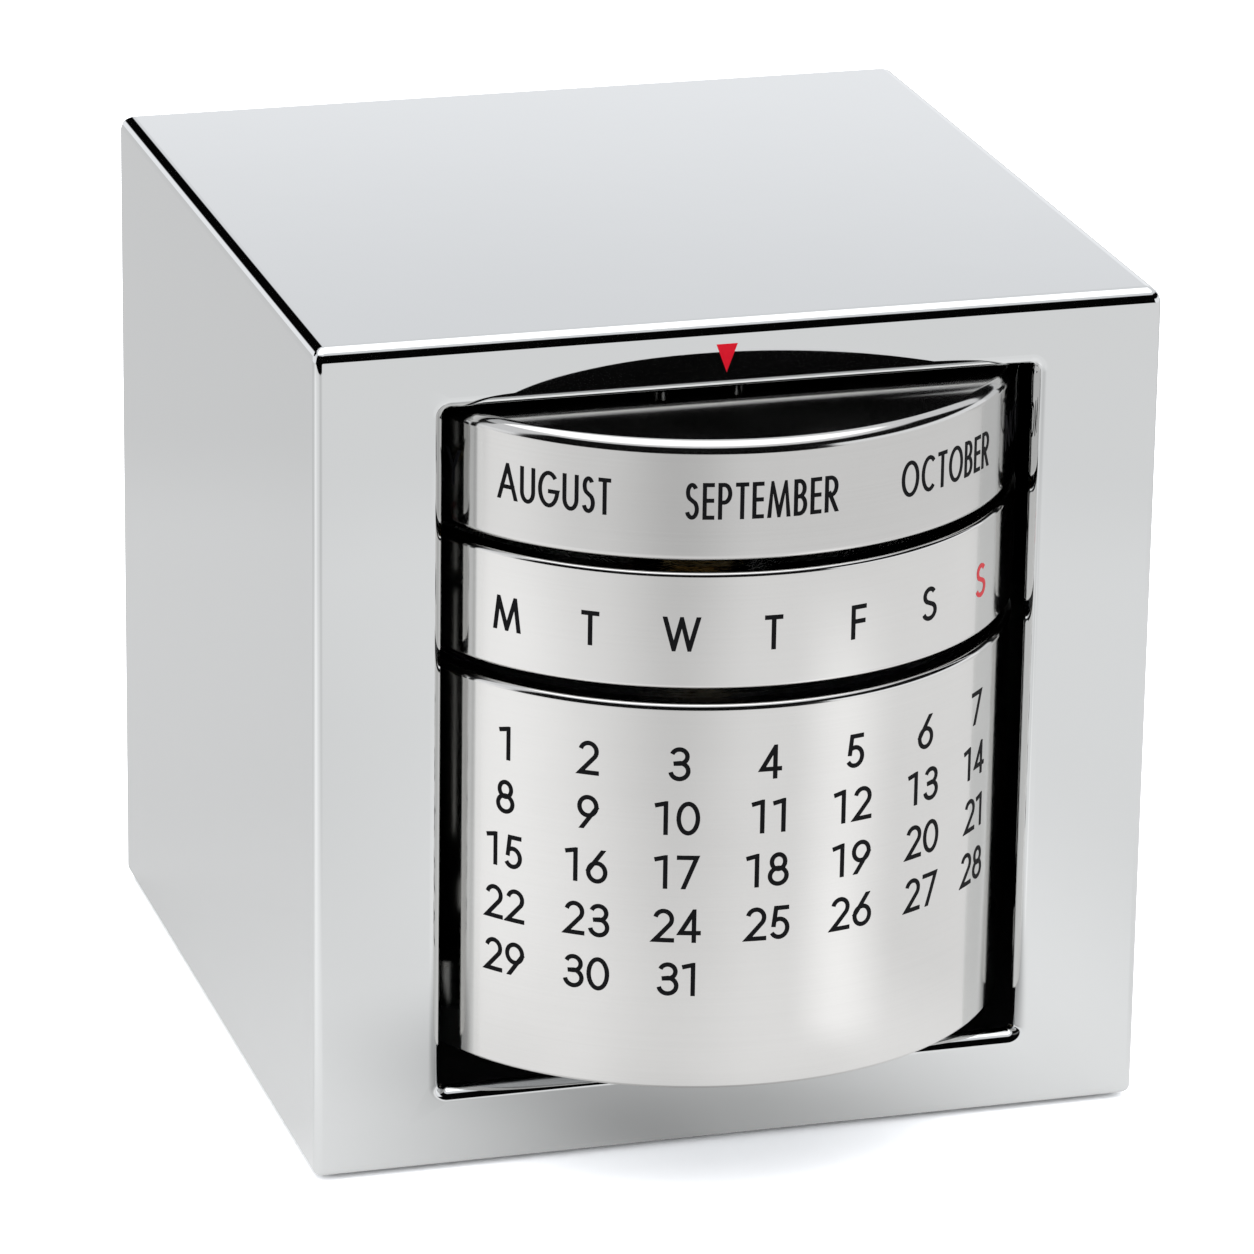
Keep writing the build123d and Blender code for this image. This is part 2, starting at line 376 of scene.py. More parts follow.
BLACK_INK = Finish(
    "black print", (0.007, 0.007, 0.008), 0.5, colour_spread=0.25, cloud=0.6 * MM, gloss=0.06
)
RED_INK = replace(
    BLACK_INK, name="red print", colour=(0.72, 0.075, 0.085), colour_spread=0.05, gloss=0.1
)
ENAMEL = Finish(
    "red enamel", (0.80, 0.008, 0.026), 0.25, colour_spread=0.06, cloud=0.5 * MM, gloss=0.12
)
ALUMINIUM = Finish(
    "turned aluminium", (0.66, 0.67, 0.68), 0.28, 1.0, 0.04, 0.06,
    relief=0.01 * MM, grain=Grain.TURNED,
)
BRASS = replace(
    ALUMINIUM, name="turned brass", colour=(0.72, 0.53, 0.24), roughness=0.25, colour_spread=0.05
)
NYLON = Finish("natural nylon", (0.80, 0.78, 0.70), 0.45, colour_spread=0.04, relief=0.01 * MM)
GROUND_STEEL = Finish(
    "ground steel", (0.60, 0.60, 0.61), 0.22, 1.0, 0.03, 0.05,
    relief=0.006 * MM, grain=Grain.DRAWN, grain_pitch=0.08 * MM,
)
ZINC = Finish("zinc plate", (0.58, 0.58, 0.56), 0.30, 1.0, 0.08, 0.08, 1.2 * MM, 0.004 * MM)
SPRING_STEEL = Finish("blued spring", (0.30, 0.31, 0.35), 0.30, 1.0, 0.10, 0.05, 1.5 * MM)
POWDER_COAT = Finish(
    "powder coat", (0.028, 0.028, 0.030), 0.55, colour_spread=0.15, relief=0.03 * MM,
    relief_size=0.35 * MM,
)
RUBBER = Finish(
    "pad rubber", (0.018, 0.018, 0.019), 0.75, colour_spread=0.2, relief=0.04 * MM,
    relief_size=0.25 * MM,
)

CARRIED: dict[Finish, tuple[str, ...]] = {
    ALUMINIUM: ("date_floor_disc", "date_top_disc", "weekday_disc"),
    BRASS: ("date_lower_bush", "date_upper_bush", "weekday_bush", "month_bush"),
    NYLON: ("thrust_washer", "date_washer", "weekday_washer", "cap_bush"),
    GROUND_STEEL: ("spindle",),
    ZINC: ("spindle_screw", "base_screws"),
    SPRING_STEEL: ("spring_washer", "retaining_clip"),
    POWDER_COAT: ("base_plate",),
}


def dress(piece: Object, *finishes: Finish) -> None:
    """Gives a piece its materials.

    Args:
        piece: The piece.
        finishes: Its finishes, in the order of its faces' material numbers.
    """
    piece.data.materials.clear()
    for finish in finishes:
        piece.data.materials.append(finish.material())


# Case


@dataclass
class CaseShell:
    """The plated cube: five walls with rounded edges, a window, posts and a boss inside."""

    low: Vector = field(default_factory=lambda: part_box("case")[0])
    high: Vector = field(default_factory=lambda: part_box("case")[1])
    wall: float = 1.2 * MM
    window_width: float = 48.84 * MM
    window_low: float = 7.05 * MM
    window_high: float = 64.6 * MM
    corner_radius: float = 0.5 * MM
    window_radius: float = 1.15 * MM
    panel: float = 2.0 * MM
    top_radius: float = 1.2 * MM
    side_radius: float = 0.7 * MM
    round_steps: int = 10
    corner_steps: int = 12
    boss_steps: int = 48
    post_side: float = 6.0 * MM
    post_low: float = 3.4 * MM
    post_high: float = 15.4 * MM
    boss_radius: float = 5.5 * MM
    boss_bore: float = 3.32 * MM
    boss_low: float = 65.7 * MM
    sink: float = 0.5 * MM

    @property
    def ceiling(self) -> float:
        """The height of the inside of the top wall."""
        return self.high.z - self.wall

    def hollow_out(self, bm: BMesh) -> None:
        """Makes the cube and opens it from below, up to the inside of the top wall.

        Args:
            bm: The empty bmesh.
        """
        bmesh.ops.create_cube(bm, size=1.0, matrix=box_matrix(self.low, self.high))
        under = min(bm.faces, key=lambda face: face.calc_center_median().z)
        bmesh.ops.inset_region(bm, faces=[under], thickness=self.wall, use_even_offset=True)
        raised = bmesh.ops.extrude_discrete_faces(bm, faces=[under])["faces"]
        rise = UP * (self.ceiling - self.low.z)
        bmesh.ops.translate(bm, vec=rise, verts=raised[0].verts[:])
        close_up(bm)

    def faces_at(self, bm: BMesh, level: float) -> list[BMFace]:
        """The faces that lie at one depth behind the front, in metres along Y."""
        return [
            face for face in bm.faces if all(abs(vert.co.y - level) < MERGE for vert in face.verts)
        ]

    def open_front(self, bm: BMesh) -> None:
        """Takes a panel about the window out of both sides of the front wall.

        Args:
            bm: The hollow cube.
        """
        margin = self.window_radius + self.panel
        sides = self.window_width / 2 + margin
        cuts = (
            ((-sides, 0.0, 0.0), (1.0, 0.0, 0.0)),
            ((sides, 0.0, 0.0), (1.0, 0.0, 0.0)),
            ((0.0, 0.0, self.window_low - margin), UP),
            ((0.0, 0.0, self.window_high + margin), UP),
        )
        middle = Vector((0.0, 0.0, (self.window_low + self.window_high) / 2))
        for level in (self.low.y, self.low.y + self.wall):
            for spot, across in cuts:
                faces = self.faces_at(bm, level)
                edges = {edge for face in faces for edge in face.edges}
                verts = {vert for face in faces for vert in face.verts}
                bmesh.ops.bisect_plane(
                    bm, geom=[*verts, *edges, *faces], plane_co=spot, plane_no=across, dist=MERGE
                )
            panel = min(
                self.faces_at(bm, level),
                key=lambda face: (face.calc_center_bounds() - middle).xz.length,
            )
            bmesh.ops.delete(bm, geom=[panel], context="FACES_ONLY")

    def cut_window(self, bm: BMesh) -> None:
        """Builds the window's rounded edge and walls and joins them to the front wall.

        Args:
            bm: The hollow cube.
        """
        self.open_front(bm)
        rounding = self.window_radius
        half = self.window_width / 2 + rounding
        low, high = self.window_low - rounding, self.window_high + rounding
        corners = [
            bm.verts.new((x, self.low.y, z))
            for x, z in ((-half, low), (half, low), (half, high), (-half, high))
        ]
        bm.faces.new(corners)
        round_off(bm, corners, self.corner_radius + rounding, self.corner_steps, "VERTICES")
        door = max(self.faces_at(bm, self.low.y), key=lambda face: len(face.verts))
        turns = [math.radians(90.0 * i / self.round_steps) for i in range(self.round_steps + 1)]
        for a, b in zip(turns, turns[1:]):
            bmesh.ops.inset_region(
                bm, faces=[door], thickness=rounding * (math.sin(b) - math.sin(a)),
                depth=-rounding * (math.cos(a) - math.cos(b)),
                use_boundary=True, use_even_offset=True,
            )
        pushed = bmesh.ops.extrude_discrete_faces(bm, faces=[door])["faces"]
        bmesh.ops.translate(bm, vec=(0.0, self.wall - rounding, 0.0), verts=pushed[0].verts[:])
        bmesh.ops.delete(bm, geom=pushed, context="FACES_ONLY")
        for level in (self.low.y, self.low.y + self.wall):
            rims = [
                edge for edge in bm.edges
                if edge.is_boundary and all(abs(vert.co.y - level) < MERGE for vert in edge.verts)
            ]
            bmesh.ops.triangle_fill(bm, edges=rims, use_beauty=True, normal=(0.0, -1.0, 0.0))
        close_up(bm)

    def is_inside(self, face: BMFace) -> bool:
        """Whether a face belongs to the inside of the case, which is painted near-black as shade.
        """
        reach = self.high.x - self.wall + MERGE
        return all(
            abs(vert.co.x) < reach and abs(vert.co.y) < reach and vert.co.z < self.ceiling + MERGE
            for vert in face.verts
        )

    def edge_weight(self, edge: BMEdge) -> float:
        """The share of the top radius by which an edge is rounded.

        Args:
            edge: An edge of the case before its rounding.

        Returns:
            A share from 0, sharp, to 1, the radius along the top.
        """
        a, b = (vert.co for vert in edge.verts)
        on_x = [abs(abs(p.x) - self.high.x) < MERGE for p in (a, b)]
        on_y = [abs(abs(p.y) - self.high.y) < MERGE for p in (a, b)]
        if min(a.z, b.z) > self.high.z - MERGE:
            return 1.0
        if (all(on_x) and all(on_y)) or (
            max(a.z, b.z) < self.low.z + MERGE and (all(on_x) or all(on_y))
        ):
            return self.side_radius / self.top_radius
        return 0.0

    def add_posts_and_boss(self, bm: BMesh) -> None:
        """Adds the four corner posts and the boss over the spindle, sunk into the walls.

        Args:
            bm: The case.
        """
        reach = self.high.x - self.wall
        for x in (-1, 1):
            for y in (-1, 1):
                near = reach - self.post_side
                far = reach + self.sink
                corners = [Vector((x * d, y * d, 0.0)) for d in (near, far)]
                low = Vector(map(min, *corners)) + UP * self.post_low
                high = Vector(map(max, *corners)) + UP * self.post_high
                bmesh.ops.create_cube(bm, size=1.0, matrix=box_matrix(low, high))
        boss = bmesh.new()
        top = self.ceiling + self.sink
        spin_profile(
            boss,
            [(self.boss_bore, self.boss_low), (self.boss_radius, self.boss_low),
             (self.boss_radius, top), (self.boss_bore, top)],
            self.boss_steps,
        )
        add_copy(bm, boss)

    def build(self) -> Object:
        """Builds and dresses the case.

        Returns:
            The case, which stands for its CAD node.
        """
        bm = bmesh.new()
        self.hollow_out(bm)
        self.cut_window(bm)
        weights = bm.edges.layers.float.new("bevel_weight_edge")
        for edge in bm.edges:
            edge[weights] = self.edge_weight(edge)
        shell_faces = len(bm.faces)
        self.add_posts_and_boss(bm)
        bm.faces.ensure_lookup_table()
        # The inside faces, posts and boss take the near-black finish, painted shade for the dark
        # inside.
        for number, face in enumerate(bm.faces):
            face.material_index = int(number >= shell_faces or self.is_inside(face))
        smooth_with_creases(bm)
        for edge in bm.edges:
            if edge[weights] > 0.0:
                edge.smooth = True
        piece = new_object("case_shell", bm)
        rounding = piece.modifiers.new("rounded edges", "BEVEL")
        rounding.limit_method = "WEIGHT"
        rounding.offset_type = "OFFSET"
        rounding.width = self.top_radius
        rounding.segments = self.round_steps
        rounding.profile = 0.5
        rounding.use_clamp_overlap = False
        weigh_normals(piece)
        dress(piece, PLATE, SHADED_INSIDE)
        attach(piece, Body.CUBE.value)
        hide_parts("case")
        return piece


@dataclass
class PointerMark:
    """The enamel triangle above the window that points at the month."""

    proud: float = 0.03 * MM
    edge: float = 0.05 * MM
    edge_steps: int = 3
    crease: float = math.radians(50.0)

    def build(self) -> Object:
        """Builds the triangle in its pocket, a little proud of the front face.

        Returns:
            The triangle, which stands for its CAD node.
        """
        low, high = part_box("pointer")
        bm = bmesh.new()
        front = low.y - self.proud
        corners = (((low.x + high.x) / 2, low.z), (high.x, high.z), (low.x, high.z))
        verts = [bm.verts.new((x, front, z)) for x, z in corners]
        face = bm.faces.new(verts)
        pushed = bmesh.ops.extrude_face_region(bm, geom=[face], use_keep_orig=True)["geom"]
        back = [item for item in pushed if isinstance(item, BMVert)]
        bmesh.ops.translate(bm, vec=(0.0, high.y - front, 0.0), verts=back)
        close_up(bm)
        rim = [
            edge for edge in bm.edges if all(vert.co.y < front + MERGE for vert in edge.verts)
        ]
        round_off(bm, rim, self.edge, self.edge_steps)
        smooth_with_creases(bm, self.crease)
        piece = new_object("pointer_mark", bm)
        weigh_normals(piece)
        dress(piece, ENAMEL)
        piece.visible_glossy = False
        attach(piece, Body.CUBE.value)
        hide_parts("pointer")
        return piece


@dataclass
class RestPad:
    """The rubber pad under the base, with a raised rim that it rests on."""

    corner: float = 3.0 * MM
    corner_steps: int = 10
    edge: float = 0.25 * MM
    edge_steps: int = 4
    rim: float = 2.5 * MM
    sunk: float = 0.25 * MM
    square: float = math.radians(80.0)

    def build(self) -> Object:
        """Builds the pad as a rounded slab with a shallow panel in its underside.

        Returns:
            The pad, which stands for its CAD node.
        """
        low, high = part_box("base_pad")
        bm = bmesh.new()
        bmesh.ops.create_cube(bm, size=1.0, matrix=box_matrix(low, high))
        upright = [
            edge for edge in bm.edges if abs(edge.verts[0].co.z - edge.verts[1].co.z) > MERGE
        ]
        round_off(bm, upright, self.corner, self.corner_steps)
        under = min(bm.faces, key=lambda face: face.calc_center_median().z)
        for thickness, depth in ((self.rim, 0.0), (self.sunk, -self.sunk)):
            bmesh.ops.inset_region(
                bm, faces=[under], thickness=thickness, depth=depth, use_even_offset=True
            )
        outer = [
            edge for edge in bm.edges
            if edge.is_manifold and edge.calc_face_angle(0.0) > self.square
        ]
        round_off(bm, outer, self.edge, self.edge_steps)
        smooth_with_creases(bm)
        piece = new_object("rest_pad", bm)
        weigh_normals(piece)
        dress(piece, RUBBER)
        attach(piece, Body.CUBE.value)
        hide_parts("base_pad")
        return piece


# Rings


@dataclass
class RingShell:
    """One of the rings: a turned wall with rounded outer edges, and a lid on the month ring."""

    node: str
    name: str
    body: Body
    low_round: float
    top_round: float
    wall: float = 1.6 * MM
    finish: Finish = RING_STEEL
    lid: float = 0.0
    lid_bore: float = 3.32 * MM
    steps: int = 240
    round_steps: int = 8

    def __post_init__(self) -> None:
        """Takes the ring's radius and heights from its CAD node."""
        low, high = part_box(self.node)
        self.radius = (high.x - low.x) / 2
        self.low, self.high = low.z, high.z

    def profile(self) -> list[Point]:
        """The ring's section.

        Returns:
            The radius and height of each corner.
        """
        bore = self.radius - self.wall
        section = [(bore, self.low), (self.radius, self.low), (self.radius, self.high)]
        if not self.lid:
            return section + [(bore, self.high)]
        under = self.high - self.lid
        return section + [(self.lid_bore, self.high), (self.lid_bore, under), (bore, under)]

    def rim_edges(self, bm: BMesh, height: float) -> list[BMEdge]:
        """The outer edges at one height."""
        axis = Vector((0.0, RING_AXIS_Y, height))
        return [
            edge for edge in bm.edges
            if all(
                abs(vert.co.z - height) < MERGE
                and abs((vert.co - axis).length - self.radius) < 10 * MERGE
                for vert in edge.verts
            )
        ]

    def build(self) -> Object:
        """Builds and dresses the ring.

        Returns:
            The ring, which stands for its CAD node.
        """
        bm = bmesh.new()
        spin_profile(bm, self.profile(), self.steps)
        for height, rounding in ((self.low, self.low_round), (self.high, self.top_round)):
            round_off(bm, self.rim_edges(bm, height), rounding, self.round_steps)
        for face in bm.faces:
            face.material_index = int(
                self.lid > 0.0 and all(vert.co.z > self.high - MERGE for vert in face.verts)
            )
        smooth_with_creases(bm)
        piece = new_object(self.name, bm)
        weigh_normals(piece)
        dress(piece, *((self.finish, LID_STEEL) if self.lid else (self.finish,)))
        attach(piece, self.body.value)
        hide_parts(self.node)
        return piece


# Lettering


@dataclass(frozen=True)
class Arc:
    """Part of an ellipse in a glyph's unit box, between two angles in degrees."""

    x: float
    y: float
    across: float
    up: float
    start: float
    end: float
    step: float = 12.0

    def points(self) -> list[Point]:
        """Points along the arc.

        Returns:
            The points from its start to its end.
        """
        turn = self.end - self.start
        count = max(2, math.ceil(abs(turn) / self.step))
        angles = [math.radians(self.start + turn * i / count) for i in range(count + 1)]
        return [
            (self.x + self.across * math.cos(angle), self.y + self.up * math.sin(angle))
            for angle in angles
        ]


Stroke = tuple[Union[Point, Arc], ...]


@dataclass(frozen=True)
class Glyph:
    """A character as the centre lines of its strokes in a unit box, base line to cap line.

    The width and the two bearings are shares of the cap height.
    """

    width: float
    strokes: tuple[Stroke, ...]
    left: float = 0.05
    right: float = 0.05


def ring_stroke(x: float, y: float, across: float, up: float) -> Stroke:
    """A closed oval stroke."""
    return (Arc(x, y, across, up, 90.0, 450.0),)


STEM: Stroke = ((0.0, 0.0), (0.0, 1.0))
P_BOWL: Stroke = ((0.0, 1.0), (0.4, 1.0), Arc(0.4, 0.73, 0.6, 0.27, 90, -90), (0.0, 0.46))

LETTERS: dict[str, Glyph] = {
    "A": Glyph(0.68, (((0, 0), (0.5, 1), (1, 0)), ((0.17, 0.33), (0.83, 0.33)))),
    "B": Glyph(0.40, (
        STEM,
        ((0, 1), (0.35, 1), Arc(0.35, 0.765, 0.55, 0.235, 90, -90), (0, 0.53)),
        ((0, 0.53), (0.4, 0.53), Arc(0.4, 0.265, 0.6, 0.265, 90, -90), (0, 0)),
    )),
    "C": Glyph(0.55, ((Arc(0.57, 0.5, 0.57, 0.5, 48, 312),),)),
    "D": Glyph(0.50, (STEM, ((0, 1), (0.3, 1), Arc(0.3, 0.5, 0.7, 0.5, 90, -90), (0, 0)))),
    "E": Glyph(0.34, (((1, 1), (0, 1), (0, 0), (1, 0)), ((0, 0.52), (0.95, 0.52)))),
    "F": Glyph(0.33, (((1, 1), (0, 1), (0, 0)), ((0, 0.52), (0.92, 0.52)))),
    "G": Glyph(0.68, ((Arc(0.5, 0.5, 0.5, 0.5, 42, 352), (1, 0.44), (0.58, 0.44)),)),
    "H": Glyph(0.52, (STEM, ((1, 0), (1, 1)), ((0, 0.52), (1, 0.52)))),
    "I": Glyph(0.11, (STEM,)),
    "J": Glyph(0.30, (((1, 1), (1, 0.28), Arc(0.42, 0.28, 0.58, 0.28, 0, -150)),)),
    "L": Glyph(0.33, (((0, 1), (0, 0), (1, 0)),)),
    "M": Glyph(0.68, (((0, 0), (0.15, 1), (0.5, 0), (0.85, 1), (1, 0)),)),
    "N": Glyph(0.56, (((0, 0), (0, 1), (1, 0), (1, 1)),)),
    "O": Glyph(0.64, (ring_stroke(0.5, 0.5, 0.5, 0.5),)),
    "P": Glyph(0.40, (STEM, P_BOWL)),
    "R": Glyph(0.42, (STEM, P_BOWL, ((0.38, 0.46), (1, 0)))),
    "S": Glyph(0.40, ((Arc(0.5, 0.77, 0.42, 0.23, 30, 235), Arc(0.5, 0.25, 0.5, 0.25, 55, -160)),)),
    "T": Glyph(0.38, (((0, 1), (1, 1)), ((0.5, 0), (0.5, 1)))),
    "U": Glyph(0.50, (((0, 1), (0, 0.3), Arc(0.5, 0.3, 0.5, 0.3, 180, 360), (1, 1)),)),
    "V": Glyph(0.60, (((0, 1), (0.5, 0), (1, 1)),)),
    "W": Glyph(0.90, (((0, 1), (0.26, 0), (0.5, 1), (0.74, 0), (1, 1)),)),
    "Y": Glyph(0.56, (((0, 1), (0.5, 0.45), (1, 1)), ((0.5, 0), (0.5, 0.45)))),
}

DIGITS: dict[str, Glyph] = {
    "0": Glyph(0.66, (ring_stroke(0.5, 0.5, 0.5, 0.5),), 0.03, 0.03),
    "1": Glyph(0.31, (((0, 0.95), (1, 1), (1, 0)),), 0.10, 0.20),
    "2": Glyph(0.61, ((Arc(0.5, 0.72, 0.48, 0.28, 165, -38), (0.0, 0), (1, 0)),), 0.05, 0.05),
    "3": Glyph(0.62, (
        (Arc(0.5, 0.76, 0.44, 0.24, 160, -80), (0.42, 0.52)),
        ((0.42, 0.53), Arc(0.5, 0.27, 0.5, 0.27, 85, -170)),
    )),
    "4": Glyph(0.64, (((0.745, 0), (0.745, 1), (0, 0.26), (1, 0.26)),)),
    "5": Glyph(0.57, (
        ((0.95, 1), (0.24, 1), (0.12, 0.5)),
        (Arc(0.46, 0.31, 0.54, 0.31, 128, -150),),
    )),
    "6": Glyph(0.62, (ring_stroke(0.5, 0.31, 0.5, 0.31), ((0.8, 1), (0.08, 0.42)))),
    "7": Glyph(0.62, (((0, 1), (1, 1), (0.3, 0)),)),
    "8": Glyph(0.61, (ring_stroke(0.5, 0.75, 0.4, 0.25), ring_stroke(0.5, 0.27, 0.5, 0.27))),
    "9": Glyph(0.62, (ring_stroke(0.5, 0.69, 0.5, 0.31), ((0.2, 0), (0.92, 0.58)))),
}

WIDE_LETTERS: dict[str, Glyph] = {
    letter: Glyph(width, LETTERS[letter].strokes)
    for letter, width in (("M", 0.90), ("T", 0.52), ("W", 1.03), ("F", 0.48), ("S", 0.60))
}


def perpendicular(direction: Vector) -> Vector:
    """The direction turned a quarter to the left, in the flat of the lettering."""
    return Vector((-direction.y, direction.x, 0.0))


@dataclass(frozen=True)
class Typeface:
    """Printed characters of one size, drawn with a broad nib."""

    glyphs: dict[str, Glyph]
    cap: float
    stroke: float
    film: float = 0.02 * MM
    layer: float = 0.002 * MM
    reach: float = 0.8 * MM
    sharpest: float = 0.2
    level_slope: float = 0.1

    def centre_line(self, stroke: Stroke, width: float) -> list[Vector]:
        """A stroke's centre line in metres, with long level runs divided for bending.

        Args:
            stroke: The stroke in its unit box.
            width: The character's inked width in metres.

        Returns:
            The points along the line.
        """
        flat: list[Point] = []
        for element in stroke:
            flat.extend(element.points() if isinstance(element, Arc) else [element])
        inset = self.stroke / 2
        line: list[Vector] = []
        for x, y in flat:
            spot = Vector((
                inset + x * max(width - self.stroke, 0.0), inset + y * (self.cap - self.stroke), 0.0
            ))
            if line and (spot - line[-1]).length < MERGE:
                continue
            if line:
                start = line[-1]
                pieces = math.ceil(abs(spot.x - start.x) / self.reach)
                line.extend(start.lerp(spot, i / pieces) for i in range(1, pieces))
            line.append(spot)
        return line

    def lengthen(self, line: list[Vector], stroke: Stroke) -> None:
        """Runs the straight open ends of a line on, so that they can be trimmed square.

        Args:
            line: The centre line, which is changed.
            stroke: The stroke that it comes from.
        """
        for end, beside, element in ((0, 1, stroke[0]), (-1, -2, stroke[-1])):
            if isinstance(element, Arc):
                continue
            along = (line[end] - line[beside]).normalized()
            level = abs(along.y) < self.level_slope
            line[end] += along * (self.stroke / 2 if level else self.stroke)

    def ribbon(self, bm: BMesh, line: list[Vector], closed: bool, level: float) -> None:
        """Draws a nib along a line by extruding its edge from point to point.

        Args:
            bm: The bmesh that gets the ribbon.
            line: The centre line.
            closed: Whether the line ends where it starts.
            level: The ribbon's height above the surface.
        """
        count = len(line)
        nibs: list[Vector] = []
        for i, spot in enumerate(line):
            before = line[i - 1] if i else (line[-2] if closed else None)
            after = line[i + 1] if i + 1 < count else (line[1] if closed else None)
            runs = [
                (b - a).normalized()
                for a, b in ((before, spot), (spot, after)) if a is not None and b is not None
            ]
            nib = sum((perpendicular(run) for run in runs), Vector((0.0, 0.0, 0.0))).normalized()
            turned = max(nib.dot(perpendicular(runs[0])), self.sharpest)
            nibs.append(nib * (self.stroke / 2 / turned))
        lift = UP * level
        ends = [bm.verts.new(line[0] + side * nibs[0] + lift) for side in (1, -1)]
        edge = bm.edges.new(ends)
        for i in range(1, count):
            grown = bmesh.ops.extrude_edge_only(bm, edges=[edge])["geom"]
            verts = [item for item in grown if isinstance(item, BMVert)]
            for vert in verts:
                side = math.copysign(1.0, (vert.co - line[i - 1]).dot(nibs[i - 1]))
                vert.co = line[i] + side * nibs[i] + lift
            edge = bm.edges.get(verts)
        if closed:
            bmesh.ops.remove_doubles(bm, verts=bm.verts[:], dist=MERGE)

    def flat(self, character: str, squeeze: float) -> BMesh:
        """A character as a flat closed film with its lower left ink corner at the origin.

        Args:
            character: The character.
            squeeze: A factor on its width.

        Returns:
            The film.
        """
        glyph = self.glyphs[character]
        bm = bmesh.new()
        for number, stroke in enumerate(glyph.strokes):
            part = bmesh.new()
            line = self.centre_line(stroke, glyph.width * self.cap * squeeze)
            closed = (line[0] - line[-1]).length < MERGE
            if not closed:
                self.lengthen(line, stroke)
            self.ribbon(part, line, closed, number * self.layer)
            for height, outwards in ((0.0, -1.0), (self.cap, 1.0)):
                bmesh.ops.bisect_plane(
                    part, geom=part.verts[:] + part.edges[:] + part.faces[:],
                    plane_co=(0.0, height, 0.0), plane_no=(0.0, outwards, 0.0),
                    clear_outer=True, dist=MERGE,
                )
            part.normal_update()
            downwards = [face for face in part.faces if face.normal.z < 0.0]
            bmesh.ops.reverse_faces(part, faces=downwards)
            bmesh.ops.solidify(part, geom=part.faces[:], thickness=-self.film)
            bmesh.ops.recalc_face_normals(part, faces=part.faces[:])
            add_copy(bm, part)
        return bm

    def spans(self, text: str, squeeze: float = 1.0) -> list[tuple[float, float]]:
        """Where each character's ink starts and ends, from the first one's ink.

        Args:
            text: The characters.
            squeeze: A factor on all widths.

        Returns:
            A start and an end in metres for each character.
        """
        spots: list[tuple[float, float]] = []
        pen = 0.0
        for i, character in enumerate(text):
            glyph = self.glyphs[character]
            pen += glyph.left * self.cap * squeeze if i else 0.0
            end = pen + glyph.width * self.cap * squeeze
            spots.append((pen, end))
            pen = end + glyph.right * self.cap * squeeze
        return spots


MONTH_FACE = Typeface(LETTERS, 3.0 * MM, 0.33 * MM)
WEEKDAY_FACE = Typeface(WIDE_LETTERS, 2.85 * MM, 0.37 * MM)
DATE_FACE = Typeface(DIGITS, 2.85 * MM, 0.365 * MM)


@dataclass(frozen=True)
class Mark:
    """A text on a ring: the angle of its middle in degrees and its base line in metres."""

    text: str
    angle: float
    base: float
    ink: Ink = Ink.BLACK
    span: float = 0.0


@dataclass
class Print:
    """All marks of one ink on one ring, bent to the ring's wall."""

    name: str
    ring: RingShell
    typeface: Typeface
    marks: list[Mark]
    ink: Ink
    lift: float = 0.004 * MM

    def bend(self, verts: Iterable[BMVert], start: float, base: float) -> None:
        """Lays flat vertices on the ring.

        Args:
            verts: The vertices, x along the text, y up and z off the surface.
            start: The ring's angle at x = 0, in radians from the front towards +X.
            base: The height of the base line.
        """
        for vert in verts:
            along, up, off = vert.co
            angle = start + along / self.ring.radius
            radius = self.ring.radius + self.lift + off
            vert.co = (
                radius * math.sin(angle), RING_AXIS_Y - radius * math.cos(angle), base + up
            )

    def build(self) -> Object:
        """Prints the marks.

        Returns:
            One thin film, which rides on the ring's body.
        """
        bm = bmesh.new()
        for mark in self.marks:
            natural = self.typeface.spans(mark.text)[-1][1]
            wanted = math.radians(mark.span) * self.ring.radius if mark.span else natural
            squeeze = wanted / natural
            for character, (start, _) in zip(mark.text, self.typeface.spans(mark.text, squeeze)):
                before = len(bm.verts)
                add_copy(bm, self.typeface.flat(character, squeeze))
                bm.verts.ensure_lookup_table()
                angle = math.radians(mark.angle) + (start - wanted / 2) / self.ring.radius
                self.bend(bm.verts[before:], angle, mark.base)
        piece = new_object(self.name, bm)
        dress(piece, RED_INK if self.ink is Ink.RED else BLACK_INK)
        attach(piece, self.ring.body.value)
        return piece


FRONT_MONTHS = (("AUGUST", -40.8, 21.2), ("SEPTEMBER", -4.3, 26.7), ("OCTOBER", 34.3, 24.7))
OTHER_MONTHS = (
    "NOVEMBER", "DECEMBER", "JANUARY", "FEBRUARY", "MARCH", "APRIL", "MAY", "JUNE", "JULY"
)
WEEK = "MTWTFSS"
DAYS = 31


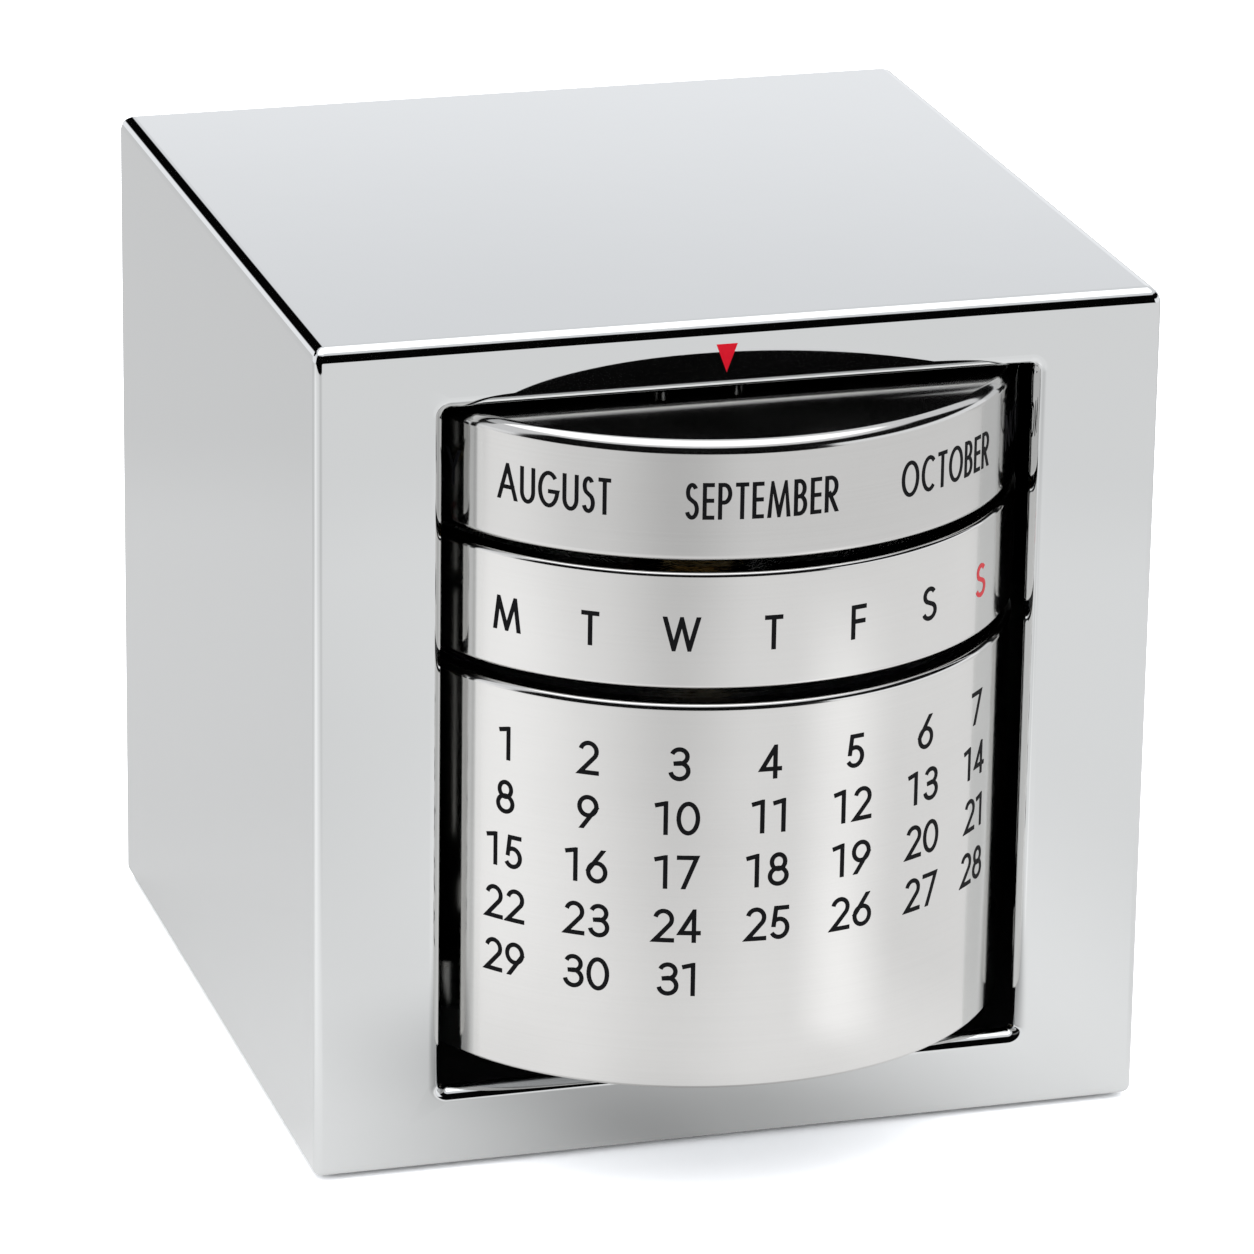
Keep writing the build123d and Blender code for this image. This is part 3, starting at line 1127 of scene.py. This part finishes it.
@dataclass
class CalendarPrints:
    """The month names, weekday letters and date numbers on the three rings."""

    month_ring: RingShell
    weekday_ring: RingShell
    date_drum: RingShell
    weeks: int = 3
    first_column: float = -49.3
    column_pitch: float = 15.75
    month_base: float = 57.95 * MM
    month_squeeze: float = 0.94
    weekday_base: float = 47.05 * MM
    date_base: float = 36.2 * MM
    date_pitch: float = 4.565 * MM

    def column_angle(self, column: int) -> float:
        """The angle of a column, counted from the leftmost one in front."""
        return self.first_column + column * self.column_pitch

    def month_marks(self) -> list[Mark]:
        """The twelve month names: three in front, and the others evenly round the back.

        Returns:
            A mark for each name.
        """
        marks = [
            Mark(name, angle, self.month_base, span=span) for name, angle, span in FRONT_MONTHS
        ]
        turn = math.degrees(self.month_squeeze) / self.month_ring.radius
        widths = [MONTH_FACE.spans(name)[-1][1] * turn for name in OTHER_MONTHS]
        start = marks[-1].angle + marks[-1].span / 2
        room = 360.0 + marks[0].angle - marks[0].span / 2 - start
        gap = (room - sum(widths)) / (len(widths) + 1)
        for name, width in zip(OTHER_MONTHS, widths):
            marks.append(Mark(name, start + gap + width / 2, self.month_base, span=width))
            start += gap + width
        return marks

    def weekday_marks(self) -> list[Mark]:
        """The seven weekday letters, once for each week round the ring, the last one in red.

        Returns:
            A mark for each letter.
        """
        inks = [Ink.BLACK] * (len(WEEK) - 1) + [Ink.RED]
        turns = [360.0 * week / self.weeks for week in range(self.weeks)]
        return [
            Mark(letter, self.column_angle(i) + turn, self.weekday_base, inks[i])
            for turn in turns
            for i, letter in enumerate(WEEK)
        ]

    def date_marks(self) -> list[Mark]:
        """The numbers of the days in seven columns.

        Returns:
            A mark for each number.
        """
        marks = []
        for day in range(DAYS):
            row, column = divmod(day, len(WEEK))
            base = self.date_base - row * self.date_pitch
            marks.append(Mark(str(day + 1), self.column_angle(column), base))
        return marks

    def build(self) -> list[Object]:
        """Builds the four prints.

        Returns:
            The prints of the months, the weekdays in black and in red, and the dates.
        """
        week = self.weekday_marks()
        rows = (
            ("month_print", self.month_ring, MONTH_FACE, self.month_marks(), Ink.BLACK),
            ("weekday_print", self.weekday_ring, WEEKDAY_FACE, week, Ink.BLACK),
            ("sunday_print", self.weekday_ring, WEEKDAY_FACE, week, Ink.RED),
            ("date_print", self.date_drum, DATE_FACE, self.date_marks(), Ink.BLACK),
        )
        return [
            Print(name, ring, face, [mark for mark in marks if mark.ink is ink], ink).build()
            for name, ring, face, marks, ink in rows
        ]


# Studio


class Measure(Enum):
    """What the soft edge of an area is measured along."""

    X = "metres to the right"
    Y = "metres to the back"
    Z = "metres up"
    AHEAD = "metres in front of the rings' axis"
    AWAY = "metres from the rings' axis"
    SIDE = "degrees to the right of straight ahead, from the rings' axis"
    FRONT = "degrees to the right of straight ahead"
    BACK = "degrees to the right of straight behind"
    HEIGHT = "degrees above the horizon"


@dataclass(frozen=True)
class SoftEdge:
    """A smooth step between two places along a measure."""

    along: Measure
    low: float
    high: float
    before: float = 0.0
    after: float = 1.0


Area = tuple[SoftEdge, ...]


def fall(along: Measure, low: float, high: float) -> SoftEdge:
    """An edge that ends an area."""
    return SoftEdge(along, low, high, 1.0, 0.0)


def band(along: Measure, low: float, high: float, soft: float) -> Area:
    """Both edges of an area, each of this width."""
    return SoftEdge(along, low - soft, low), fall(along, high, high + soft)


def within(tree: Tree, measures: dict[Measure, Socket], area: Area) -> Value:
    """How far a place lies within an area, from 0, outside, to 1."""
    return tree.product(*(
        tree.ramp(measures[edge.along], edge.low, edge.high, edge.before, edge.after)
        for edge in area
    ))


@dataclass(frozen=True)
class Tone:
    """An area of the floor with painted light, where the change is above 0, and painted shade,
    where it is below, that only the polished faces show.
    """

    change: float
    area: Area


# Painted light and painted shade on the floor, seen only in the polished faces: a painted shadow at
# the drum's foot, the painted shade of a person in front, and lighter and dimmer areas about the
# cube.
FLOOR_TONES: dict[str, Tone] = {
    "light close in front": Tone(0.14, (
        SoftEdge(Measure.AHEAD, 0.0, 0.015), fall(Measure.AHEAD, 0.03, 0.12),
        fall(Measure.X, 0.035, 0.06),
    )),
    "shade at the drum's foot": Tone(-0.5, (
        *band(Measure.X, -0.003, -0.003, 0.034), fall(Measure.AHEAD, 0.03, 0.055),
        SoftEdge(Measure.AHEAD, 0.0, 0.012),
    )),
    "light at the left": Tone(0.11, (
        *band(Measure.SIDE, -75.0, -75.0, 38.0), SoftEdge(Measure.AWAY, 0.045, 0.08),
    )),
    "dimmer farther out": Tone(-0.06, (SoftEdge(Measure.AWAY, 0.155, 0.195),)),
    "shade of a person in front": Tone(-0.21, (
        *band(Measure.SIDE, -20.0, -20.0, 26.0), SoftEdge(Measure.AWAY, 0.05, 0.19, before=0.45),
    )),
    "dimmer behind": Tone(-0.18, (SoftEdge(Measure.Y, -0.03, 0.06),)),
}
# The floor painted dark far in front, seen only in the polished faces.
FLOOR_DARK: Area = (SoftEdge(Measure.AHEAD, 0.34, 0.42), fall(Measure.SIDE, 30.0, 38.0))
ROOM_DARKS: dict[str, Area] = {
    "in front": (*band(Measure.FRONT, -75.0, 30.0, 6.0), fall(Measure.HEIGHT, 44.0, 50.0)),
    "in front and at the right, higher up": (
        *band(Measure.FRONT, -75.0, 100.0, 6.0), *band(Measure.HEIGHT, 20.0, 44.0, 6.0)
    ),
    "at the back left": (
        *band(Measure.BACK, -45.0, 2.0, 4.0), *band(Measure.HEIGHT, 13.0, 31.0, 4.0)
    ),
}


@dataclass
class Studio:
    """The floor, the light and the camera."""

    floor_size: float = 12.0
    floor_shade: float = 0.78
    floor_seen: float = 2.2
    # The floor's painted glow in the polished faces, and the share of it in what they mirror.
    floor_painted_glow: float = 0.96
    painted_glow_share: float = 0.62
    room_colour: Colour = (0.985, 1.0, 1.03)
    room_light: float = 0.86
    low_haze: float = 1.21
    haze_from: float = 14.6
    haze_to: float = 17.6
    dark_light: float = 0.0015
    strip_place: Vector = field(default_factory=lambda: Vector((13.5 * MM, -56.1 * MM)))
    strip_facing: float = 45.0
    strip_reach: float = 10.0 * MM
    strip_low: float = 6.0 * MM
    strip_high: float = 50.0 * MM
    strip_rise: float = 4.0 * MM
    strip_fall: float = 14.0 * MM
    strip_light: float = 0.22
    overhead: float = 0.88
    overhead_angle: float = 66.0
    overhead_tilt: float = 7.0
    azimuth: float = -16.491
    elevation: float = 19.628
    roll: float = 0.835
    distance: float = 613.97 * MM
    target: Vector = field(default_factory=lambda: Vector((0.969 * MM, 0.0, 32.462 * MM)))
    focal_pixels: float = 7232.3
    image_pixels: float = 1254.0
    sensor: float = 36.0
    clip_start: float = 10.0 * MM

    def card(self, name: str, place: Matrix) -> tuple[Object, Tree]:
        """Adds a flat card to the stage.

        Args:
            name: The card's name.
            place: The matrix that takes a square of 2 by 2 to its place.

        Returns:
            The card and the empty tree of its material.
        """
        bm = bmesh.new()
        bmesh.ops.create_grid(bm, x_segments=1, y_segments=1, size=1.0, matrix=place)
        card = new_object(name, bm)
        made, tree = new_material(name)
        made.cycles.emission_sampling = "NONE"
        card.data.materials.append(made)
        return card, tree

    def painted_floor_light(self, tree: Tree) -> Socket:
        """The painted light and painted shade on the floor, as the polished faces show it.

        Args:
            tree: The floor's tree.

        Returns:
            The socket with the floor's brightness, about 1, and 0 far in front.
        """
        x, y, _ = tree.parts(tree.place())
        ahead = tree.math("MULTIPLY_ADD", y, -1.0, RING_AXIS_Y)
        squares = tree.math("MULTIPLY_ADD", x, x, tree.math("MULTIPLY", ahead, ahead))
        measures = {
            Measure.X: x, Measure.Y: y, Measure.AHEAD: ahead,
            Measure.AWAY: tree.math("SQRT", squares), Measure.SIDE: tree.bearing(x, ahead),
        }
        level: Value = 1.0
        for tone in FLOOR_TONES.values():
            area = within(tree, measures, tone.area)
            level = tree.math("MULTIPLY_ADD", area, tone.change, level)
        dark = within(tree, measures, FLOOR_DARK)
        return tree.math("MULTIPLY", level, tree.math("SUBTRACT", 1.0, dark))

    def floor(self) -> None:
        """The pale floor. The polished faces mirror it partly as a glow, with painted light and
        painted shade; the camera sees it brighter and without them.
        """
        _, tree = self.card("floor", Matrix.Scale(self.floor_size / 2, 4))
        mirrored = tree.mirrored()
        painted_light = self.painted_floor_light(tree)
        kept = tree.add("MapRange", {"Value": mirrored, 3: 1.0, 4: painted_light}).outputs[0]
        seen = tree.add("LightPath").outputs["Is Camera Ray"]
        whole = tree.add("MapRange", {"Value": seen, 3: self.floor_shade, 4: self.floor_seen})
        shade = tree.math("MULTIPLY", whole.outputs[0], kept)
        tint = tree.add("CombineColor", {0: shade, 1: shade, 2: shade}).outputs[0]
        matt = tree.add("BsdfDiffuse", {"Color": tint})
        # A glow seen only in the polished faces: painted light that fills the floor's shadows
        # there.
        level = tree.math("MULTIPLY", painted_light, self.floor_painted_glow)
        painted_glow = tree.add("Emission", {"Color": WHITE, "Strength": level})
        share = tree.math("MULTIPLY", mirrored, self.painted_glow_share)
        tree.surface(tree.add("MixShader", {0: share, 1: matt.outputs[0], 2: painted_glow.outputs[0]}))

    def surroundings(self) -> None:
        """A white room with dark areas that only the polished faces show."""
        world = bpy.data.worlds.new("studio")
        bpy.context.scene.world = world
        world.use_nodes = True
        tree = Tree(world.node_tree)
        x, y, z = tree.parts(tree.add("TexCoord").outputs["Generated"])
        height = tree.math("MULTIPLY", tree.math("ARCSINE", z), math.degrees(1.0))
        measures = {
            Measure.FRONT: tree.bearing(x, tree.math("MULTIPLY", y, -1.0)),
            Measure.BACK: tree.bearing(x, y),
            Measure.HEIGHT: height,
        }
        dark: Value = 0.0
        for area in ROOM_DARKS.values():
            dark = tree.math("MAXIMUM", dark, within(tree, measures, area))
        seen = tree.math("MULTIPLY", dark, tree.mirrored())
        low_light = self.low_haze * self.room_light
        haze = tree.ramp(height, self.haze_from, self.haze_to, low_light, self.room_light)
        level = tree.ramp(seen, 0.0, 1.0, haze, self.dark_light)
        room = tree.add("Background", {"Color": (*self.room_colour, 1.0), "Strength": level})
        white = tree.add("Background", {"Color": WHITE, "Strength": 1.0})
        direct = tree.add("LightPath").outputs["Is Camera Ray"]
        mix = tree.add("MixShader", {0: direct, 1: room.outputs[0], 2: white.outputs[0]})
        tree.surface(mix, "OutputWorld")

    def strip(self) -> None:
        """A soft upright strip of light at the front right, seen only in the polished faces."""
        half = (self.strip_high - self.strip_low) / 2
        facing = math.radians(self.strip_facing)
        strip, tree = self.card(
            "strip light",
            Matrix.Translation((*self.strip_place, self.strip_low + half))
            @ Matrix.Rotation(facing, 4, "Z")
            @ Matrix.Rotation(math.radians(90.0), 4, "X")
            @ Matrix.Diagonal((self.strip_reach, half, 1.0, 1.0)),
        )
        strip.visible_camera = strip.visible_diffuse = strip.visible_shadow = False
        x, _, z = tree.parts(tree.place())
        middle = self.strip_place.x
        area = (
            *band(Measure.X, middle, middle, self.strip_reach * math.cos(facing)),
            SoftEdge(Measure.Z, self.strip_low, self.strip_low + self.strip_rise),
            fall(Measure.Z, self.strip_high - self.strip_fall, self.strip_high),
        )
        glow = within(tree, {Measure.X: x, Measure.Z: z}, area)
        level = tree.math("MULTIPLY", glow, self.strip_light)
        light = tree.add("Emission", {"Color": WHITE, "Strength": level})
        clear = tree.add("BsdfTransparent")
        tree.surface(tree.add("AddShader", {0: light.outputs[0], 1: clear.outputs[0]}))

    def softbox(self) -> None:
        """A wide soft light overhead, tilted a little to the front."""
        lamp = bpy.data.lights.new("overhead softbox", "SUN")
        lamp.energy = self.overhead
        lamp.angle = math.radians(self.overhead_angle)
        holder = bpy.data.objects.new("overhead softbox", lamp)
        holder.rotation_euler = (math.radians(-self.overhead_tilt), 0.0, 0.0)
        bpy.context.scene.collection.objects.link(holder)

    def camera(self) -> None:
        """The camera at the picture's viewing angle."""
        lens = bpy.data.cameras.new("camera")
        lens.sensor_width = self.sensor
        lens.lens = self.sensor * self.focal_pixels / self.image_pixels
        lens.clip_start = self.clip_start
        holder = bpy.data.objects.new("camera", lens)
        holder.matrix_world = (
            Matrix.Translation(self.target)
            @ Matrix.Rotation(math.radians(self.azimuth), 4, "Z")
            @ Matrix.Rotation(math.radians(90.0 - self.elevation), 4, "X")
            @ Matrix.Rotation(math.radians(self.roll), 4, "Z")
            @ Matrix.Translation((0.0, 0.0, self.distance))
        )
        bpy.context.scene.collection.objects.link(holder)
        bpy.context.scene.camera = holder

    def build(self) -> None:
        """Sets up the floor, the light, the camera and the plain view transform."""
        self.floor()
        self.strip()
        self.surroundings()
        self.softbox()
        self.camera()
        bpy.context.scene.view_settings.view_transform = "Standard"


def main() -> None:
    """Builds the calendar piece by piece and reports each one."""
    logging.basicConfig(level=logging.INFO)
    month_ring = RingShell(
        "month_ring", "month_shell", Body.MONTH, 0.6 * MM, 1.0 * MM, finish=SHADED_MONTH_STEEL,
        lid=2.0 * MM,
    )
    weekday_ring = RingShell("weekday_ring", "weekday_shell", Body.WEEKDAY, 0.4 * MM, 0.4 * MM)
    date_drum = RingShell("date_drum", "date_shell", Body.DATE, 0.3 * MM, 0.6 * MM)
    pieces = [part.build() for part in (CaseShell(), PointerMark(), RestPad())]
    pieces += [ring.build() for ring in (month_ring, weekday_ring, date_drum)]
    pieces += CalendarPrints(month_ring, weekday_ring, date_drum).build()
    for piece in pieces:
        log.info("%s: %d faces", piece.name, len(piece.data.polygons))
    for finish, nodes in CARRIED.items():
        for node in nodes:
            dress(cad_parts[node], finish)
            log.info("%s: %s", node, finish.name)
    Studio().build()


if __name__ == "__main__":
    main()
